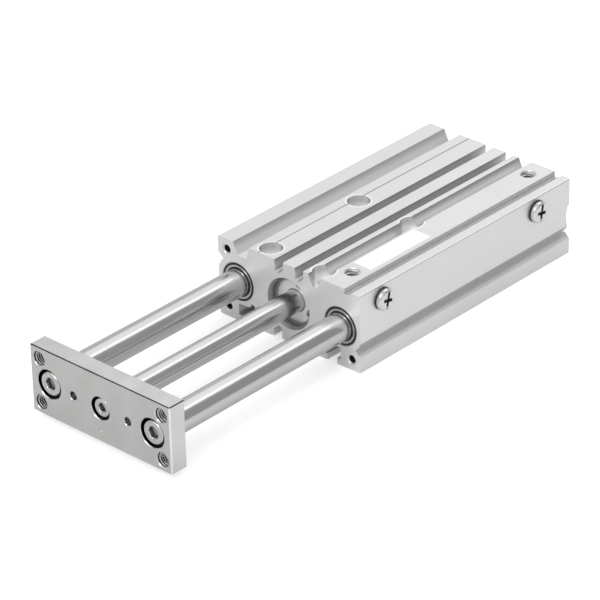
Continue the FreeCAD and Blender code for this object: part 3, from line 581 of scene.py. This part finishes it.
def label_film():
    """White film label, blank, with a faint calender grain."""
    shader = Shader("label_film")
    fibre = shader.noise((4.0, 1.5, 4.0), 4.0)
    colour = shader.tint(shader.span(fibre, 0.3, 0.7), (0.98, 0.98, 0.978), (1.0, 1.0, 0.998))
    shader.set(Base_Color=colour, Roughness=shader.span(fibre, 0.3, 0.7, 0.34, 0.44))
    shader.bump(fibre, 0.15, 0.004)
    return shader.material


def magnet_ferrite():
    """Bonded ferrite, dull and slightly granular."""
    shader = Shader("magnet_ferrite")
    grain = shader.noise((5.0, 5.0, 5.0), 4.0, 0.7)
    colour = shader.tint(shader.span(grain, 0.35, 0.65), (0.07, 0.065, 0.062), (0.14, 0.13, 0.125))
    shader.set(Base_Color=colour, Metallic=0.3, Roughness=shader.span(grain, 0.3, 0.7, 0.55, 0.7))
    shader.bump(grain, 0.4, 0.015)
    return shader.material


def wear_resin():
    """Ivory filled resin with fine dark fibres."""
    shader = Shader("wear_resin")
    fibre = shader.noise((2.0, 8.0, 2.0), 4.0, 0.7)
    colour = shader.tint(shader.span(fibre, 0.35, 0.6), (0.50, 0.43, 0.30), (0.74, 0.68, 0.54))
    shader.set(Base_Color=colour, Roughness=shader.span(fibre, 0.3, 0.7, 0.4, 0.55))
    shader.bump(fibre, 0.2, 0.008)
    return shader.material


def dress(material, *names):
    """Gives CAD nodes a material."""
    for name in names:
        mesh = nodes[name].data
        mesh.materials.clear()
        mesh.materials.append(material)


def dress_nodes():
    """Every CAD node's material, and the two that the threads share with what they are cut in."""
    body, plate = anodised_aluminium(), plate_steel()
    black = rubber("seal_rubber", (0.012, 0.012, 0.013), (0.026, 0.026, 0.027))
    sides = ("left", "right")
    dress(body, "cylinder_body")
    dress(plate, "end_plate")
    dress(rod_chrome(), "piston_rod", "guide_rod_left", "guide_rod_right")
    dress(screw_steel(), "guide_rod_screws", "piston_rod_screw")
    cover = turned_aluminium("cover_aluminium", (0.92, 0.92, 0.915), (0.97, 0.97, 0.965), 0.3)
    piston = turned_aluminium("piston_aluminium", (0.60, 0.60, 0.59), (0.70, 0.70, 0.69), 0.7)
    dress(cover, "rod_cover", "head_cover")
    dress(piston, "piston")
    dress(black, "rod_seal", "piston_seal", "rod_cover_oring", "head_cover_oring", "side_port_gaskets",
          *["guide_wiper_" + side for side in sides])
    dress(rubber("bumper_rubber", (0.05, 0.07, 0.06), (0.09, 0.12, 0.10)), "front_bumper", "rear_bumper")
    dress(bush_bronze(), "rod_bush", *[row + "_bush_" + side for row in ("front", "rear") for side in sides])
    dress(ring_steel(), "rod_cover_ring", "head_cover_ring")
    dress(case_steel(), *["wiper_case_" + side for side in sides])
    dress(plug_steel(), "side_port_plugs")
    dress(label_film(), "name_label")
    dress(magnet_ferrite(), "magnet_ring")
    dress(wear_resin(), "wear_ring")
    return body, plate


def thread_points(mouth, inward, radius, depth, pitch):
    """Vertices and faces of one helical thread ridge that stands into a hole. The mouth is in metres,
    the other sizes in millimetres."""
    height = THREAD_HEIGHT * pitch
    root, crest = THREAD_ROOT_HALF * pitch, THREAD_CREST_HALF * pitch
    profile = [(radius + THREAD_SEAT, -root), (radius - height, -crest),
               (radius - height, crest), (radius + THREAD_SEAT, root)]
    across = inward.orthogonal().normalized()
    other = inward.cross(across)
    turns = depth / pitch - 1.0
    steps = int(turns * THREAD_STEPS)
    points, faces = [], []
    for step in range(steps + 1):
        angle = 2.0 * math.pi * step / THREAD_STEPS
        along = pitch * (0.5 + step / THREAD_STEPS)
        grown = min(1.0, step / THREAD_STEPS * 2.0, (steps - step) / THREAD_STEPS * 2.0)
        outward = across * math.cos(angle) + other * math.sin(angle)
        for reach, offset in profile:
            reach = radius + THREAD_SEAT + (reach - radius - THREAD_SEAT) * grown
            points.append(mouth + outward * (reach * MM) + inward * ((along + offset) * MM))
        if step:
            for corner in range(4):
                nearby = (corner + 1) % 4
                before, here = 4 * step - 4, 4 * step
                faces.append((before + corner, before + nearby, here + nearby, here + corner))
    faces.append((3, 2, 1, 0))
    faces.append((4 * steps, 4 * steps + 1, 4 * steps + 2, 4 * steps + 3))
    return points, faces


def thread_piece(name, holes, material, body):
    """One piece with the threads of several holes; each hole is (mouth, inward, radius, depth, pitch)."""
    points, faces = [], []
    for hole in holes:
        more_points, more_faces = thread_points(*hole)
        faces += [tuple(index + len(points) for index in face) for face in more_faces]
        points += more_points
    mesh = bpy.data.meshes.new(name)
    mesh.from_pydata(points, [], faces)
    mesh.validate()
    mesh.materials.append(material)
    piece = bpy.data.objects.new(name, mesh)
    bpy.context.scene.collection.objects.link(piece)
    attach(piece, body)


def rectangle(mount):
    """Hole centres of a rectangular mount, in metres."""
    place = Vector(mount["pos_m"])
    normal = Vector(mount["axis"])
    units = [Vector(unit) for unit in ((1, 0, 0), (0, 1, 0), (0, 0, 1))]
    flat = [unit for unit in units if abs(unit.dot(normal)) < 0.5]
    half_x = mount["dims"]["spacing_x_mm"] / 2 * MM
    half_y = mount["dims"]["spacing_y_mm"] / 2 * MM
    return [place + flat[0] * side * half_x + flat[1] * end * half_y
            for side in (-1, 1) for end in (-1, 1)]


def end_hole_places():
    """X and Z of the three end holes."""
    left_mount, bottom_mount = mounts["end_holes_left"], mounts["end_holes_bottom"]
    left, bottom = Vector(left_mount["pos_m"]), Vector(bottom_mount["pos_m"])
    half_width = bottom_mount["dims"]["spacing_x_mm"] / 2 * MM
    half_height = left_mount["dims"]["spacing_y_mm"] / 2 * MM
    return [(left.x, left.z + half_height), (left.x, bottom.z), (bottom.x + half_width, bottom.z)]


def threads(body_material, plate_material):
    """Visible threads: the plate's corner holes, the base holes, the top ports and the end holes."""
    plate_mount, base_mount = mounts["plate_threads"], mounts["bottom_threads"]
    plate_depth = (PLATE_HIGH.y - PLATE_LOW.y) / MM - PLATE_CHAMFER
    plate_radius, base_radius = plate_mount["dims"]["hole_r_mm"], base_mount["dims"]["hole_r_mm"]
    end_radius = mounts["end_holes_left"]["dims"]["hole_r_mm"]
    back, up, down = Vector((0, 1, 0)), Vector((0, 0, 1)), Vector((0, 0, -1))
    plate_holes = [(mouth + back * PLATE_CHAMFER * MM, back, plate_radius, plate_depth, M5_PITCH)
                   for mouth in rectangle(plate_mount)]
    thread_piece("plate_hole_threads", plate_holes, plate_material, "slider")
    base_holes = [(mouth, up, base_radius, BASE_THREAD_DEPTH, M5_PITCH) for mouth in rectangle(base_mount)]
    thread_piece("base_hole_threads", base_holes, body_material, "housing")
    port_holes = []
    for name in ("port_front_top", "port_rear_top"):
        place = Vector(mounts[name]["pos_m"])
        mouth = Vector((place.x, place.y, BODY_HIGH.z - PORT_CHAMFER * MM))
        port_holes.append((mouth, down, mounts[name]["dims"]["r_mm"], PORT_THREAD_DEPTH, M5_PITCH))
    thread_piece("port_threads", port_holes, body_material, "housing")
    end_mouths = [Vector((x, FRONT_FACE + END_HOLE_CHAMFER * MM, z)) for x, z in end_hole_places()]
    end_holes = [(mouth, back, end_radius, END_THREAD_DEPTH, M3_PITCH) for mouth in end_mouths]
    thread_piece("end_hole_threads", end_holes, body_material, "housing")


def camera_back():
    """From the object towards the camera."""
    azimuth, elevation = math.radians(CAMERA_AZIMUTH), math.radians(CAMERA_ELEVATION)
    level = math.cos(elevation)
    return Vector((math.sin(azimuth) * level, -math.cos(azimuth) * level, math.sin(elevation)))


def camera():
    """The photograph's view."""
    azimuth, roll = math.radians(CAMERA_AZIMUTH), math.radians(CAMERA_ROLL)
    back = camera_back()
    level = Vector((math.cos(azimuth), math.sin(azimuth), 0.0))
    upright = back.cross(level)
    right = level * math.cos(roll) + upright * math.sin(roll)
    up = upright * math.cos(roll) - level * math.sin(roll)
    aim = Vector((0.0, FRONT_FACE, 0.0)) + right * CAMERA_RIGHT + up * CAMERA_UP
    place = aim + back * CAMERA_DISTANCE
    data = bpy.data.cameras.new("photo_camera")
    data.sensor_width = CAMERA_SENSOR
    data.lens = CAMERA_LENS
    data.clip_start = 0.05
    data.clip_end = 50.0
    made = bpy.data.objects.new("photo_camera", data)
    made.matrix_world = Matrix.Translation(place) @ Matrix((right, up, back)).transposed().to_4x4()
    bpy.context.scene.collection.objects.link(made)
    bpy.context.scene.camera = made


def facing(direction, distance, target):
    """Place and turn of something that looks at the target, its local Y axis along the rods."""
    back = Vector(direction).normalized()
    along = (Vector((0, 1, 0)) - back * back.y).normalized()
    turned = Matrix((along.cross(back), along, back)).transposed().to_4x4()
    return Matrix.Translation(target + back * distance) @ turned


def softbox(name, direction, distance, across, along, radiance):
    """Area lamp that looks at the object; its radiance adds to the surroundings, where white is 1."""
    data = bpy.data.lights.new(name, "AREA")
    data.shape = "RECTANGLE"
    data.size = across
    data.size_y = along
    data.energy = radiance * 4.0 * across * along
    lamp = bpy.data.objects.new(name, data)
    lamp.matrix_world = facing(direction, distance, STUDIO_CENTRE)
    bpy.context.scene.collection.objects.link(lamp)


def sheet(name, material, across, along, lift=0.0):
    """Flat sheet that faces up, with its middle over the origin."""
    mesh = bpy.data.meshes.new(name)
    x, y = across / 2, along / 2
    mesh.from_pydata([(-x, -y, lift), (x, -y, lift), (x, y, lift), (-x, y, lift)], [], [(0, 1, 2, 3)])
    mesh.materials.append(material)
    made = bpy.data.objects.new(name, mesh)
    bpy.context.scene.collection.objects.link(made)
    return made


def only_reflected(made):
    """Hides a card from the camera and keeps it from lighting or shading the rest."""
    made.visible_camera = False
    made.visible_diffuse = False
    made.visible_shadow = False


def card(name, direction, distance, across, along, grey):
    """Grey card that only gives the metal something darker to reflect, as in a photo studio."""
    shader = Shader(name)
    paper = shader.noise((0.02, 0.02, 0.02), 2.0)
    shader.set(Base_Color=shader.tint(paper, (grey * 0.9,) * 3, (grey * 1.1,) * 3), Roughness=0.9)
    made = sheet(name, shader.material, across, along)
    made.matrix_world = facing(direction, distance, STUDIO_CENTRE)
    only_reflected(made)


def round_rods(angle):
    """Direction that a rod mirrors to the camera from its side at this angle about Y, 0 at +X, 90 at +Z."""
    turn = math.radians(angle)
    back = camera_back()
    across = math.hypot(back.x, back.z)
    return Vector((across * math.cos(turn), -back.y, across * math.sin(turn)))


def forward(direction):
    """The same direction on the front side."""
    return Vector((direction.x, -direction.y, direction.z))


def table_card():
    """Grey sheet just over the floor that only reflections see; it glows a little, and is lighter and
    brighter on the right.
    """
    shader = Shader("table_card")
    paper = shader.noise((0.02, 0.02, 0.02), 2.0)
    side = shader.span(shader.along("X"), *TABLE_LIGHTER_FROM_X)
    shader.set(Base_Color=shader.tint(side, (0.38, 0.38, 0.38), (0.48, 0.48, 0.48)),
               Roughness=shader.span(paper, 0.3, 0.7, 0.85, 0.95), Emission_Color=(1.0, 1.0, 1.0, 1.0),
               Emission_Strength=shader.span(side, 0.0, 1.0, 0.30, 0.42))
    made = sheet("table_card", shader.material, TABLE_SIZE, TABLE_SIZE, TABLE_LIFT)
    only_reflected(made)


def floor():
    """Pale floor. Camera, glossy and transmission rays see it lifted to white round the shadow."""
    shader = Shader("pale_floor")
    paper = shader.noise((0.01, 0.01, 0.01), 2.0)
    path = shader.tree.nodes.new("ShaderNodeLightPath")
    seen = shader.math("MAXIMUM", path.outputs["Is Camera Ray"], path.outputs["Is Glossy Ray"])
    seen = shader.math("MAXIMUM", seen, path.outputs["Is Transmission Ray"])
    shader.set(Base_Color=shader.tint(paper, (0.80, 0.80, 0.80), (0.82, 0.82, 0.82)), Roughness=0.9,
               Specular_IOR_Level=0.0, Emission_Color=(1.0, 1.0, 1.0, 1.0),
               Emission_Strength=shader.math("MULTIPLY", seen, 0.5))
    made = sheet("pale_floor", shader.material, FLOOR_SIZE, FLOOR_SIZE)


def world():
    """Even, nearly white surroundings."""
    made = bpy.data.worlds.new("studio")
    made.use_nodes = True
    background = made.node_tree.nodes["Background"]
    background.inputs["Color"].default_value = (1.0, 1.0, 1.0, 1.0)
    background.inputs["Strength"].default_value = 0.70
    bpy.context.scene.world = made


def studio():
    """Soft lamps, cards, floor and surroundings. The angles are those round a rod at which it mirrors the
    lamp or card to the camera; two lamps have their like on the front side."""
    strip, broad, low_right = round_rods(77.0), round_rods(110.0), round_rods(22.0)
    softbox("strip_softbox", strip, distance=1.1, across=0.30, along=1.0, radiance=0.9)
    softbox("broad_softbox", broad, distance=1.2, across=0.86, along=1.0, radiance=0.43)
    softbox("front_strip_softbox", forward(strip), distance=1.1, across=0.30, along=0.9, radiance=2.4)
    softbox("front_broad_softbox", forward(broad), distance=1.2, across=0.86, along=0.7, radiance=0.43)
    softbox("front_softbox", (-0.6, -0.75, 0.22), distance=1.2, across=0.8, along=0.4, radiance=0.6)
    card("right_card", low_right, distance=1.3, across=1.75, along=1.2, grey=0.5)
    card("front_card", (-0.6, -0.49, 0.63), distance=1.3, across=0.6, along=0.6, grey=0.08)
    table_card()
    floor()
    world()


camera()
body_material, plate_material = dress_nodes()
threads(body_material, plate_material)
studio()
bpy.context.scene.view_settings.view_transform = "Standard"
